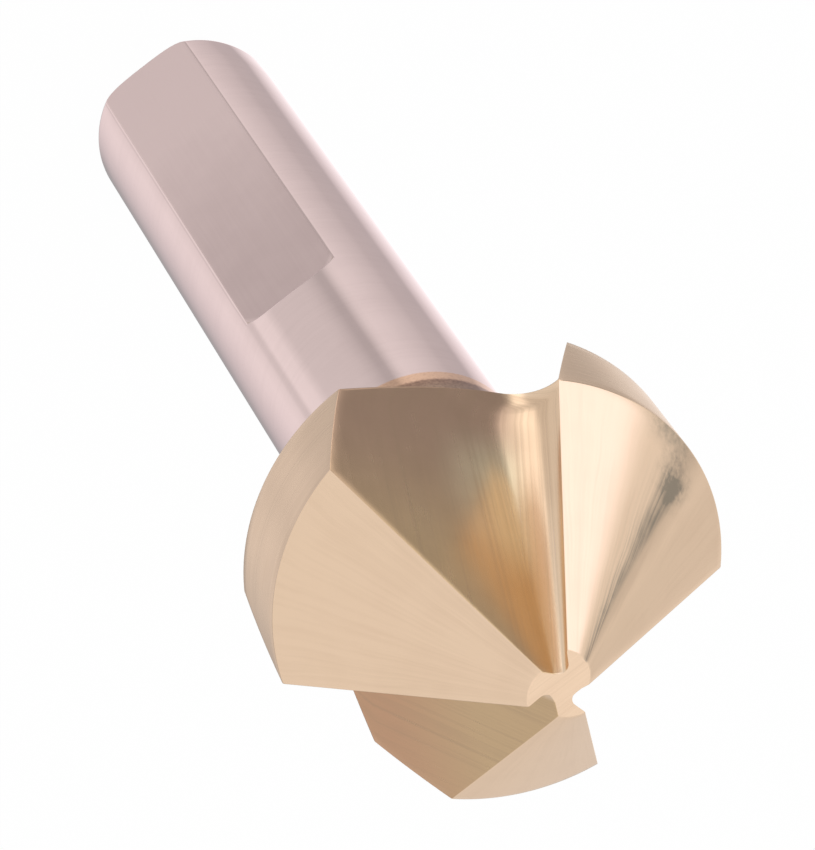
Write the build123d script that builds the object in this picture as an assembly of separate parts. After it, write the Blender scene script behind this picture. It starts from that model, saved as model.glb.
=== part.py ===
from build123d import *
from build123d.topology import SkipClean
import math
import os

# A 90 degree countersink: three flutes, straight shank with three driving flats, one piece of steel.
# It stands on the end of its shank, with the tip up. The origin is the centre of the shank's end.
# Millimetres and degrees.

# ---- driving dimensions ---------------------------------------------------------------------

# Turned blank
overall_length = 63.0  # shank end to the flat of the tip
head_diameter = 20.5  # over the cutting corners
tip_diameter = 3.4  # small end of the cutting cone
cone_angle = 90.0  # included angle of the cutting cone
margin_length = 4.9  # cylindrical margin behind each cutting corner
back_slope = 20.0  # back of the head, from square to the axis
shank_diameter = 10.0
end_radius = 0.8  # rounding at the shank's end

# Driving flats on the shank
flat_count = 3
flat_length = 29.0  # from the shank's end to where the run-out begins
flat_depth = 0.71
flat_run_out = 0.5  # radius that the cutter leaves at the end of a flat

# Lands and flutes. The tool cuts turning anticlockwise seen from the tip, and each land falls away
# clockwise, from its cutting edge back to its heel.
first_edge_angle = 72.0  # first cutting corner, from the middle of the front flat
edge_spacing_angles = (120.0, 140.0, 100.0)  # from one cutting corner to the next: uneven, against chatter
radial_rake_angle = 21.0  # lean of the rake wall from the radius, at the cutting corner
axial_rake_angle = 22.6  # lean of the rake wall from the axis, at the cutting corner
flute_angle = 65.2  # between the rake wall and the heel wall, in a section square to the axis
heel_offset = 0.51  # from the axis to the heel wall, in the plane of the tip
heel_lean_angle = 23.1  # lean of the heel wall from the axis
floor_radius = 0.42  # root radius of a flute, in the plane of the tip
floor_flare_angle = 7.8  # how the root radius opens out from the tip to the back of the head
relief_shift = 0.41  # how far off centre each land's cone is ground

run_past = 3.0  # how far a cutter runs past the metal that it cuts

# ---- worked out from them ---------------------------------------------------------------------

head_radius = head_diameter / 2
shank_radius = shank_diameter / 2
half_cone = math.radians(cone_angle / 2)
apex_height = overall_length + tip_diameter / 2 / math.tan(half_cone)
corner_height = apex_height - head_radius / math.tan(half_cone)
margin_end_height = corner_height - margin_length
back_height = margin_end_height - (head_radius - shank_radius) * math.tan(math.radians(back_slope))
front_angle = -90.0
heel_wall_angle = radial_rake_angle + flute_angle


def shank_blank() -> Part:
    """The stretch of round shank below the end of the flats, rounded at its end."""
    profile = make_face(
        Polyline((0, 0), (shank_radius, 0), (shank_radius, flat_length), (0, flat_length), close=True)
    )
    rim = profile.vertices().sort_by_distance((shank_radius, 0))[0]
    return revolve(Plane.YZ * fillet(rim, end_radius), Axis.Z)


def flat_cutter(angle: float) -> Part:
    """Cutter for one driving flat, which faces outwards at the given angle."""
    floor = shank_radius - flat_depth
    top = shank_radius + run_past
    end = flat_length + flat_run_out
    outline = make_face(Polyline((floor, -run_past), (top, -run_past), (top, end), (floor, end), close=True))
    corner = outline.vertices().sort_by_distance((floor, end))[0]
    slab = extrude(Plane.XZ * fillet(corner, flat_run_out), shank_diameter, both=True)
    return Rot(0, 0, angle) * slab


def with_flats(part: Part) -> Part:
    """The part with the driving flats milled into it."""
    for number in range(flat_count):
        part -= flat_cutter(front_angle + number * 360 / flat_count)
    return part


def head_blank() -> Part:
    """The head as it leaves the lathe, on the stretch of shank above the flats."""
    profile = Polyline(
        (0, flat_length),
        (shank_radius, flat_length),
        (shank_radius, back_height),
        (head_radius, margin_end_height),
        (head_radius, overall_length),
        (0, overall_length),
        close=True,
    )
    return revolve(Plane.XZ * make_face(profile), Axis.Z)


def flute_section(height: float) -> Sketch:
    """Section of a flute at a height, for a cutting corner that lies on the X axis."""
    below_tip = overall_length - height
    rake, heel = math.radians(radial_rake_angle), math.radians(heel_wall_angle)
    # The rake wall passes through the cutting corner and leans back below it.
    wall_shift = (corner_height - height) * math.tan(math.radians(axial_rake_angle))
    rake_distance = -head_radius * math.sin(rake) - wall_shift * math.cos(rake)
    heel_distance = heel_offset + below_tip * math.tan(math.radians(heel_lean_angle))
    # The walls y cos(rake) - x sin(rake) = rake_distance and x sin(heel) - y cos(heel) = heel_distance
    # meet at the root.
    spread = math.sin(heel - rake)
    root_x = (rake_distance * math.cos(heel) + heel_distance * math.cos(rake)) / spread
    root_y = (rake_distance * math.sin(heel) + heel_distance * math.sin(rake)) / spread
    reach = 2 * head_diameter
    rake_end = (root_x + reach * math.cos(rake), root_y + reach * math.sin(rake))
    heel_end = (root_x + reach * math.cos(heel), root_y + reach * math.sin(heel))
    outline = make_face(Polyline((root_x, root_y), rake_end, heel_end, close=True))
    root = outline.vertices().sort_by_distance((root_x, root_y))[0]
    radius = floor_radius + below_tip * math.tan(math.radians(floor_flare_angle))
    return Plane.XY.offset(height) * fillet(root, radius)


def flute_cutter(edge_angle: float) -> Part:
    """Cutter for the flute ahead of the cutting edge at the given angle."""
    # The root radius closes to nothing a little above the tip, so the cutter stops half way there.
    top = overall_length + floor_radius / math.tan(math.radians(floor_flare_angle)) / 2
    bottom = back_height - run_past
    body = loft([flute_section(top), flute_section(bottom)], ruled=True)
    return Rot(0, 0, edge_angle) * body


def flute_width() -> float:
    """Angle that a flute takes up round the cutting corners."""
    depth = heel_offset + (overall_length - corner_height) * math.tan(math.radians(heel_lean_angle))
    return math.degrees(math.acos(depth / head_radius)) - (90 - heel_wall_angle)


def land_cutter(edge_angle: float, spacing: float) -> Part:
    """Cutter that grinds one land to its relieved cone, between the middles of its two flutes."""
    width = spacing - flute_width()
    middle = edge_angle - width / 2
    # A cone ground off centre, square to the middle of the land, falls away from the edge to the heel.
    shift_angle = math.radians(middle + 90)
    drop = relief_shift * math.sin(math.radians(width / 2)) / math.tan(half_cone)
    foot = margin_end_height
    height = apex_height - drop - foot
    standing = (Align.CENTER, Align.CENTER, Align.MIN)
    cone = Cone(height * math.tan(half_cone), 0, height, align=standing)
    cone = Pos(relief_shift * math.cos(shift_angle), relief_shift * math.sin(shift_angle), foot) * cone
    sector = Cylinder(head_diameter, height + run_past, arc_size=spacing, align=(Align.NONE, Align.NONE, Align.MIN))
    return Pos(0, 0, foot) * Rot(0, 0, middle - spacing / 2) * sector - cone


def head() -> Part:
    """The cutting head, fluted and then ground, on the stretch of shank where the flats run out."""
    part = with_flats(head_blank())
    edge_angle = front_angle + first_edge_angle
    for spacing in edge_spacing_angles:
        part -= flute_cutter(edge_angle)
        part -= land_cutter(edge_angle, spacing)
        edge_angle -= spacing
    return part


def countersink_bit() -> Part:
    """The whole tool. The edge between its two stretches of shank is kept, where the run-outs begin."""
    with SkipClean():
        return with_flats(shank_blank()) + head()


os.makedirs("parts", exist_ok=True)
export_step(countersink_bit(), "parts/countersink_bit.step")
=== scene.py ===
"""A countersink bit: a gold coated three-flute cutting head on a ground steel shank."""

import cmath
import logging
import math
from dataclasses import dataclass
from enum import Enum
from typing import Any

import bmesh
import bpy
import numpy as np
from mathutils import Matrix, Vector


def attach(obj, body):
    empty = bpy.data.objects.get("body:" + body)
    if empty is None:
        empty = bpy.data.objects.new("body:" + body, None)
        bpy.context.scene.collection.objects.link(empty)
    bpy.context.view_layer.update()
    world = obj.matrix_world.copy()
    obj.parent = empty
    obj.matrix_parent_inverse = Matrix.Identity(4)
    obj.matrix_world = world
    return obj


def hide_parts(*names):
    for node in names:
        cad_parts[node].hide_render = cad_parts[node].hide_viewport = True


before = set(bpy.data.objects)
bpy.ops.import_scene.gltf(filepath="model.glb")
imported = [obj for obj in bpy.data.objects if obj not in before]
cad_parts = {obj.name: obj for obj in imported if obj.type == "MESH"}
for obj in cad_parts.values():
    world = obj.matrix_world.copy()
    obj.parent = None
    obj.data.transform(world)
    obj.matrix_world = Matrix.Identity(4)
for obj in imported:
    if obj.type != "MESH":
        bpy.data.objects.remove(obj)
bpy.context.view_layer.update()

LOG = logging.getLogger("countersink_bit")
MM = 0.001
WHOLE_TURN = 2 * math.pi
EDGE_ROUND = 0.04 * MM  # width of every rounded edge
WELD = 0.002 * MM  # points nearer than this become one
TINY = 1e-9  # least length that is divided by
LONGEST_END_STEP = 0.3  # most of a run that the step at a rounded edge takes
BISECTIONS = 50  # halvings, after which a height is exact
SETTLING = 12  # rounds, after which a flute's angle and height agree
MIX_COLOURS = (6, 7)  # the colour sockets of a Mix node
MIX_RESULT = 2

Colour = tuple[float, float, float]
Range = tuple[float, float]
Point = tuple[float, float, float]
Place = tuple[complex, float]  # a point in plan, and its height


# ---- shader and geometry nodes ---------------------------------------------------------------


class Sock:
    """A node's output socket, with the operators that shader maths uses."""

    def __init__(self, graph: "Graph", socket: Any) -> None:
        """Wrap a socket of a graph."""
        self.graph = graph
        self.socket = socket

    def _math(self, operation: str, *values: "Sock | float") -> "Sock":
        """Add one Math node and return its result."""
        return self.graph.node("ShaderNodeMath", {"operation": operation}, dict(enumerate(values)))

    def __add__(self, other: "Sock | float") -> "Sock":
        """Return self + other."""
        return self._math("ADD", self, other)

    def __radd__(self, other: float) -> "Sock":
        """Return other + self."""
        return self._math("ADD", other, self)

    def __sub__(self, other: "Sock | float") -> "Sock":
        """Return self - other."""
        return self._math("SUBTRACT", self, other)

    def __rsub__(self, other: float) -> "Sock":
        """Return other - self."""
        return self._math("SUBTRACT", other, self)

    def __mul__(self, other: "Sock | float") -> "Sock":
        """Return self * other."""
        return self._math("MULTIPLY", self, other)

    def __rmul__(self, other: float) -> "Sock":
        """Return other * self."""
        return self._math("MULTIPLY", other, self)

    def __truediv__(self, other: "Sock | float") -> "Sock":
        """Return self / other."""
        return self._math("DIVIDE", self, other)

    def __rtruediv__(self, other: float) -> "Sock":
        """Return other / self."""
        return self._math("DIVIDE", other, self)

    def power(self, exponent: float) -> "Sock":
        """Return self to a power."""
        return self._math("POWER", self, exponent)

    def sine(self) -> "Sock":
        """Return the sine of self."""
        return self._math("SINE", self)

    def cosine(self) -> "Sock":
        """Return the cosine of self."""
        return self._math("COSINE", self)

    def arc_cosine(self) -> "Sock":
        """Return the angle whose cosine is self."""
        return self._math("ARCCOSINE", self)

    def turn_from(self, x: "Sock") -> "Sock":
        """Return the angle of the vector (x, self), in radians."""
        return self._math("ARCTAN2", self, x)

    def absolute(self) -> "Sock":
        """Return self without its sign."""
        return self._math("ABSOLUTE", self)

    def floored(self) -> "Sock":
        """Return self rounded down."""
        return self._math("FLOOR", self)

    def above(self, other: "Sock | float") -> "Sock":
        """Return 1 where self is larger than other, else 0."""
        return self._math("GREATER_THAN", self, other)

    def at_most(self, other: "Sock | float") -> "Sock":
        """Return the smaller of self and other."""
        return self._math("MINIMUM", self, other)

    def at_least(self, other: "Sock | float") -> "Sock":
        """Return the larger of self and other."""
        return self._math("MAXIMUM", self, other)

    def clamped(self) -> "Sock":
        """Return self, kept from 0 to 1."""
        return self.at_least(0.0).at_most(1.0)

    def choose(self, low: "Sock | float", high: "Sock | float") -> "Sock":
        """Return low where self is 0 and high where it is 1."""
        return (high - low) * self + low


class Graph:
    """A node tree of a material, of the world or of a shape."""

    def __init__(self, tree: bpy.types.NodeTree) -> None:
        """Take a node tree and empty it."""
        self.tree = tree
        tree.nodes.clear()

    def node(
        self,
        kind: str,
        settings: dict[str, Any] | None = None,
        inputs: dict[str | int, Any] | None = None,
        output: str | int = 0,
    ) -> Sock:
        """Add a node.

        Args:
            kind: The node's type.
            settings: Its properties, or "stops" for a ramp, set before its sockets.
            inputs: Values or links of its sockets, by name or number.
            output: The output that is returned.

        Returns:
            That output.
        """
        node = self.tree.nodes.new(kind)
        for name, value in (settings or {}).items():
            if name == "stops":
                self._stops(node.color_ramp, value)
            else:
                setattr(node, name, value)
        for key, value in (inputs or {}).items():
            target = node.inputs[key]
            if isinstance(value, Sock):
                self.tree.links.new(value.socket, target)
            else:
                target.default_value = value
        outputs = node.outputs
        return Sock(self, outputs[output] if len(outputs) else None)

    def split(self, vector: Sock) -> dict[str, Sock]:
        """Return the X, Y and Z of a vector."""
        outputs = self.node("ShaderNodeSeparateXYZ", {}, {0: vector}).socket.node.outputs
        return {axis: Sock(self, outputs[axis]) for axis in "XYZ"}

    @staticmethod
    def _stops(ramp: bpy.types.ColorRamp, stops: list[tuple[float, Colour]]) -> None:
        """Fill a colour ramp.

        Args:
            ramp: The ramp.
            stops: Position and colour of each stop, in rising order.
        """
        while len(ramp.elements) < len(stops):
            ramp.elements.new(1.0)
        for element, (position, colour) in zip(ramp.elements, stops):
            element.position = position
            element.color = (*colour, 1.0)


def smooth(value: Sock, start: float, end: float) -> Sock:
    """Rise smoothly from 0 to 1.

    Args:
        value: What is measured.
        start: Where the rise begins.
        end: Where it is complete. It may lie below start.

    Returns:
        The eased share.
    """
    if end < start:
        return 1 - smooth(value, end, start)
    return value.graph.node(
        "ShaderNodeMapRange",
        {"interpolation_type": "SMOOTHSTEP"},
        {"Value": value, "From Min": start, "From Max": end},
    )


def mix_colour(share: Sock | float, low: Sock | Colour, high: Sock | Colour, graph: Graph) -> Sock:
    """Blend two colours.

    Args:
        share: 0 for low, 1 for high.
        low: The first colour.
        high: The second colour.
        graph: The graph that gets the node.

    Returns:
        The blend.
    """
    values = {0: share}
    for key, colour in zip(MIX_COLOURS, (low, high)):
        values[key] = colour if isinstance(colour, Sock) else (*colour, 1.0)
    return graph.node("ShaderNodeMix", {"data_type": "RGBA"}, values, MIX_RESULT)


# ---- the head --------------------------------------------------------------------------------


@dataclass(frozen=True)
class Blank:
    """The turned form of the tool, and the three lands that are ground on its cone."""

    overall_length: float = 63.0 * MM
    head_radius: float = 10.25 * MM
    shank_radius: float = 5.0 * MM
    apex_height: float = 64.7 * MM
    margin_end: float = 49.55 * MM
    back_slope: float = math.radians(20.0)
    first_edge: float = math.radians(-18.0)
    spacings: tuple[float, ...] = (math.radians(120.0), math.radians(140.0), math.radians(100.0))
    flute_width: float = math.radians(62.27)
    relief_shift: float = 0.41 * MM

    @property
    def corner_height(self) -> float:
        """Height of a cutting corner."""
        return self.apex_height - self.head_radius

    @property
    def back_height(self) -> float:
        """Height at which the back of the head meets the shank."""
        return self.margin_end - (self.head_radius - self.shank_radius) * math.tan(self.back_slope)

    @property
    def edges(self) -> list[float]:
        """List the directions of the cutting corners.

        Returns:
            The direction of each in turn, clockwise, and of the first again after a whole turn.
        """
        found = [self.first_edge]
        for spacing in self.spacings:
            found.append(found[-1] - spacing)
        return found

    def back_radius(self, height: float) -> float:
        """Radius of the back of the head at a height."""
        return self.shank_radius + (height - self.back_height) / math.tan(self.back_slope)

    def land_cone(self, land: int) -> tuple[complex, float]:
        """Find the off-centre cone that a land is ground to.

        Args:
            land: Number of the land.

        Returns:
            The cone's centre and the height of its apex.
        """
        half = (self.spacings[land] - self.flute_width) / 2
        centre = cmath.rect(self.relief_shift, self.edges[land] - half + math.pi / 2)
        return centre, self.apex_height - self.relief_shift * math.sin(half)

    def rim_height(self, land: int, angle: float) -> float:
        """Height at which a land meets the margin, at an angle."""
        centre, apex = self.land_cone(land)
        return apex - abs(cmath.rect(self.head_radius, angle) - centre)

    def land_radius(self, land: int, angle: float, height: float) -> float:
        """Find the radius of a land.

        Args:
            land: Number of the land.
            angle: Direction from the tool's axis.
            height: Height of the point.

        Returns:
            The radius.
        """
        centre, apex = self.land_cone(land)
        turned = centre * cmath.rect(1, -angle)
        return turned.real + math.sqrt((apex - height) ** 2 - turned.imag ** 2)


class Zone(Enum):
    """A stretch of the head, along its height."""

    BACK = "back"
    MARGIN = "margin"
    CONE = "cone"


@dataclass(frozen=True)
class Ring:
    """One turn of the head's surface: its zone and how far up that zone it lies, from 0 to 1."""

    blank: Blank
    zone: Zone
    share: float

    def height(self, land: int, angle: float) -> float:
        """Find the height of the ring.

        Args:
            land: Number of the land that it is on.
            angle: Direction from the tool's axis.

        Returns:
            The height.
        """
        blank = self.blank
        if self.zone is Zone.BACK:
            return blank.back_height + self.share * (blank.margin_end - blank.back_height)
        rim = blank.rim_height(land, angle)
        if self.zone is Zone.MARGIN:
            return blank.margin_end + self.share * (rim - blank.margin_end)
        return rim + self.share * (blank.overall_length - rim)

    def radius(self, land: int, angle: float, height: float) -> float:
        """Find the radius of the ring.

        Args:
            land: Number of the land that it is on.
            angle: Direction from the tool's axis.
            height: Height of the point.

        Returns:
            The radius.
        """
        if self.zone is Zone.BACK:
            return self.blank.back_radius(height)
        if self.zone is Zone.MARGIN:
            return self.blank.head_radius
        return self.blank.land_radius(land, angle, height)

    def point(self, land: int, angle: float) -> Point:
        """Find a point of the ring.

        Args:
            land: Number of the land that it is on.
            angle: Direction from the tool's axis.

        Returns:
            The point.
        """
        height = self.height(land, angle)
        flat = cmath.rect(self.radius(land, angle, height), angle)
        return flat.real, flat.imag, height


@dataclass(frozen=True)
class Flute:
    """A V-shaped flute with a round floor that opens out towards the back of the head.

    The floor leaves the heel wall at the crease's angle, crease_reach of the floor's radius before its
    arc, and joins the arc after crease_sweep of its turn. Above the floor's exit the crease is left out
    for crease_start of crease_fade, and grows over crease_fade.
    """

    blank: Blank
    edge: float
    rake: float = math.radians(21.0)
    lean: float = math.radians(22.6)
    opening: float = math.radians(65.2)
    heel_offset: float = 0.51 * MM
    heel_lean: float = math.radians(23.1)
    floor_radius: float = 0.42 * MM
    flare: float = math.radians(7.8)
    crease: float = math.radians(11.0)
    crease_reach: float = 0.33
    crease_sweep: float = math.radians(50.0)
    crease_fade: float = 1.6 * MM
    crease_start: float = 0.15

    @property
    def heel(self) -> float:
        """Direction of the heel wall, from that of the cutting corner."""
        return self.rake + self.opening

    def root(self, height: float) -> complex:
        """Find where the two walls would meet.

        Args:
            height: Height of the section.

        Returns:
            The point, with the cutting corner on the X axis.
        """
        blank = self.blank
        back = (blank.corner_height - height) * math.tan(self.lean)
        rake_distance = -blank.head_radius * math.sin(self.rake) - back * math.cos(self.rake)
        heel_distance = self.heel_offset + (blank.overall_length - height) * math.tan(self.heel_lean)
        return (
            rake_distance * cmath.rect(1, self.heel) + heel_distance * cmath.rect(1, self.rake)
        ) / math.sin(self.opening)

    def floor(self, height: float) -> tuple[complex, float]:
        """Find the arc of the floor's section.

        Args:
            height: Height of the section.

        Returns:
            The arc's centre and its radius.
        """
        radius = self.floor_radius + (self.blank.overall_length - height) * math.tan(self.flare)
        reach = radius / math.sin(self.opening / 2)
        return self.root(height) + cmath.rect(reach, self.rake + self.opening / 2), radius

    def exit_height(self) -> float:
        """Find the height at which the floor runs out through the back of the head.

        Returns:
            The height.
        """
        low, high = self.blank.back_height, self.blank.margin_end
        for _ in range(BISECTIONS):
            middle = (low + high) / 2
            centre, radius = self.floor(middle)
            if abs(centre) - radius < self.blank.back_radius(middle):
                high = middle
            else:
                low = middle
        return high

    def meet(self, height: float, outside: float, on_heel: bool) -> tuple[complex, float]:
        """Find where one side of the flute meets a circle about the tool's axis.

        Args:
            height: Height of the section.
            outside: Radius of the circle.
            on_heel: The heel's side, else the cutting edge's.

        Returns:
            The point, and the direction in which it or its wall's foot lies from the floor's centre.
        """
        centre, radius = self.floor(height)
        wall = self.heel if on_heel else self.rake
        along = cmath.rect(1, wall)
        root = self.root(height)
        foot = (root * along.conjugate()).real
        reach = math.sqrt(max(foot ** 2 - abs(root) ** 2 + outside ** 2, 0.0)) - foot
        if reach >= radius / math.tan(self.opening / 2):
            return root + along * reach, wall + (math.pi / 2 if on_heel else -math.pi / 2)
        apart = abs(centre)
        cosine = (apart ** 2 + radius ** 2 - outside ** 2) / (2 * apart * radius)
        swing = math.acos(min(max(cosine, -1.0), 1.0))
        direction = cmath.phase(-centre) + (-swing if on_heel else swing)
        return centre + cmath.rect(radius, direction), direction

    def side(self, ring: Ring, land: int, on_heel: bool) -> tuple[complex, float, float]:
        """Find where one side of the flute meets a ring of the head.

        Args:
            ring: The ring.
            land: Number of the land on that side.
            on_heel: The heel's side, else the cutting edge's.

        Returns:
            The point, the direction from the floor's centre, and the height.
        """
        angle = self.edge + (self.blank.flute_width if on_heel else 0.0)
        for _ in range(SETTLING):
            height = ring.height(land, angle)
            point, direction = self.meet(height, ring.radius(land, angle, height), on_heel)
            angle = cmath.phase(point) + self.edge
        return point, direction, height

    def crease_depth(self, height: float) -> float:
        """Depth of the crease at a height: 0 where the floor runs out, 1 from a little above."""
        return s_curve((height - self.exit_height()) / self.crease_fade - self.crease_start)

    def trough(self, height: float, turn: Range, heel: complex, count: int) -> list[complex]:
        """Lay the floor's section, which meets the heel wall at a faint crease.

        Args:
            height: Height of the section.
            turn: Direction in which the floor's arc starts, and how far it turns.
            heel: The heel, at the outer end of the heel wall.
            count: Number of columns.

        Returns:
            The points, both ends included.
        """
        centre, radius = self.floor(height)
        start, sweep = turn
        depth = self.crease_depth(height)
        arc = [centre + cmath.rect(radius, start + sweep * share) for share in steps(count)]
        length = abs(arc[0] - heel)
        reach, bend = self.crease_reach * radius, min(self.crease_sweep, sweep / 2)
        if depth == 0.0 or length < reach:
            return arc
        inwards = (arc[0] - heel) / length
        first = arc[0] - inwards * reach
        last = centre + cmath.rect(radius, start + bend)
        leaving, arriving = inwards * cmath.rect(1, self.crease), inwards * cmath.rect(1, bend)
        ahead = ((last - first).conjugate() * arriving).imag / (leaving.conjugate() * arriving).imag
        middle = first + leaving * ahead
        curved = count // 2
        creased = [first * (1 - s) ** 2 + middle * 2 * s * (1 - s) + last * s ** 2 for s in steps(curved)]
        for share in steps(count - curved)[1:]:
            creased.append(centre + cmath.rect(radius, start + bend + (sweep - bend) * share))
        return [old + (new - old) * depth for old, new in zip(arc, creased)]

    def across(self, ring: Ring, lands: tuple[int, int], counts: "Columns") -> list[Point]:
        """Lay a ring's points through the flute, from the heel to the cutting edge.

        Args:
            ring: The ring.
            lands: Numbers of the lands on the heel's side and on the cutting edge's.
            counts: Numbers of columns.

        Returns:
            The points, both ends included.
        """
        heel, start, heel_height = self.side(ring, lands[0], True)
        edge, end, edge_height = self.side(ring, lands[1], False)
        height = (heel_height + edge_height) / 2
        section = self.trough(height, (start, (end - start) % WHOLE_TURN), heel, counts.floor)
        floor = [(point, height) for point in section]
        length = max(abs(floor[0][0] - heel), TINY)
        first = between((heel, heel_height), floor[0], steps(counts.heel, EDGE_ROUND / length))
        length = max(abs(floor[-1][0] - edge), TINY)
        last = between(floor[-1], (edge, edge_height), steps(counts.rake, 0.0, EDGE_ROUND / length))
        turn = cmath.rect(1, self.edge)
        placed = [(flat * turn, level) for flat, level in first + floor[1:] + last[1:]]
        return [(flat.real, flat.imag, level) for flat, level in placed]


def s_curve(share: float) -> float:
    """Rise smoothly from 0 to 1 as the share does."""
    share = min(max(share, 0.0), 1.0)
    return share * share * (3 - 2 * share)


def steps(count: int, first: float = 0.0, last: float = 0.0) -> list[float]:
    """Divide 0 to 1 into steps, with a short first or last one for a rounded edge.

    Args:
        count: Number of steps.
        first: Size of the first step, or 0 for an even one.
        last: Size of the last step, or 0 for an even one.

    Returns:
        The shares, 0 and 1 included.
    """
    first, last = min(first, LONGEST_END_STEP), min(last, LONGEST_END_STEP)
    inner = count - (first > 0) - (last > 0)
    shares = [first + (1 - first - last) * i / inner for i in range(inner + 1)]
    return ([0.0] if first > 0 else []) + shares + ([1.0] if last > 0 else [])


def between(start: Place, end: Place, shares: list[float]) -> list[Place]:
    """Lay points on a straight line, at shares of its length."""
    return [(start[0] + (end[0] - start[0]) * s, start[1] + (end[1] - start[1]) * s) for s in shares]


@dataclass(frozen=True)
class Columns:
    """Numbers of columns of the tool's skin, in each third of a turn."""

    land: int = 46
    heel: int = 16
    floor: int = 20
    rake: int = 12

    @property
    def flute(self) -> int:
        """Columns across a whole flute, and across a driving flat of the shank."""
        return self.heel + self.floor + self.rake

    @property
    def sector(self) -> int:
        """Columns of a land and the flute after it."""
        return self.land + self.flute


@dataclass
class CuttingHead:
    """The fluted head: its back, its margins, its lands and its flutes."""

    blank: Blank
    columns: Columns
    back_rings: int = 20
    margin_rings: int = 10
    cone_rings: int = 30

    def rings(self) -> list[Ring]:
        """List the head's rings.

        Returns:
            The rings, from the flutes' exit up to the tip.
        """
        blank = self.blank
        span = blank.margin_end - blank.back_height
        start = (self.flutes()[0].exit_height() - blank.back_height) / span
        back = [start + (1 - start) * share ** 2 for share in steps(self.back_rings)]
        back.insert(-1, 1 - EDGE_ROUND * math.sin(blank.back_slope) / span)
        margin = steps(self.margin_rings, *[EDGE_ROUND / (blank.corner_height - blank.margin_end)] * 2)
        cone = steps(self.cone_rings, *[EDGE_ROUND / (blank.overall_length - blank.corner_height)] * 2)
        return (
            [Ring(blank, Zone.BACK, share) for share in back]
            + [Ring(blank, Zone.MARGIN, share) for share in margin[1:]]
            + [Ring(blank, Zone.CONE, share) for share in cone[1:]]
        )

    def flutes(self) -> list[Flute]:
        """List the flutes, each after its land."""
        return [Flute(self.blank, edge) for edge in self.blank.edges[1:]]

    def ring_points(self, ring: Ring) -> list[Point]:
        """Lay the points of one ring.

        Args:
            ring: The ring.

        Returns:
            The points of all columns, clockwise from the first cutting edge.
        """
        flutes = self.flutes()
        crossings = []
        for land, flute in enumerate(flutes):
            crossings.append(flute.across(ring, (land, (land + 1) % len(flutes)), self.columns))
        points = []
        for land, crossing in enumerate(crossings):
            edge, heel = crossings[land - 1][-1], crossing[0]
            start = math.atan2(edge[1], edge[0])
            sweep = (start - math.atan2(heel[1], heel[0])) % WHOLE_TURN
            size = max(sweep * math.hypot(*edge[:2]), TINY)
            shares = steps(self.columns.land, EDGE_ROUND / size, EDGE_ROUND / size)
            points += [edge] + [ring.point(land, start - sweep * share) for share in shares[1:-1]]
            points += crossing[:-1]
        return points

    def build(self) -> np.ndarray:
        """Lay the head's rings, by ring and column."""
        return np.array([self.ring_points(ring) for ring in self.rings()])


# ---- the shank -------------------------------------------------------------------------------


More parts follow.
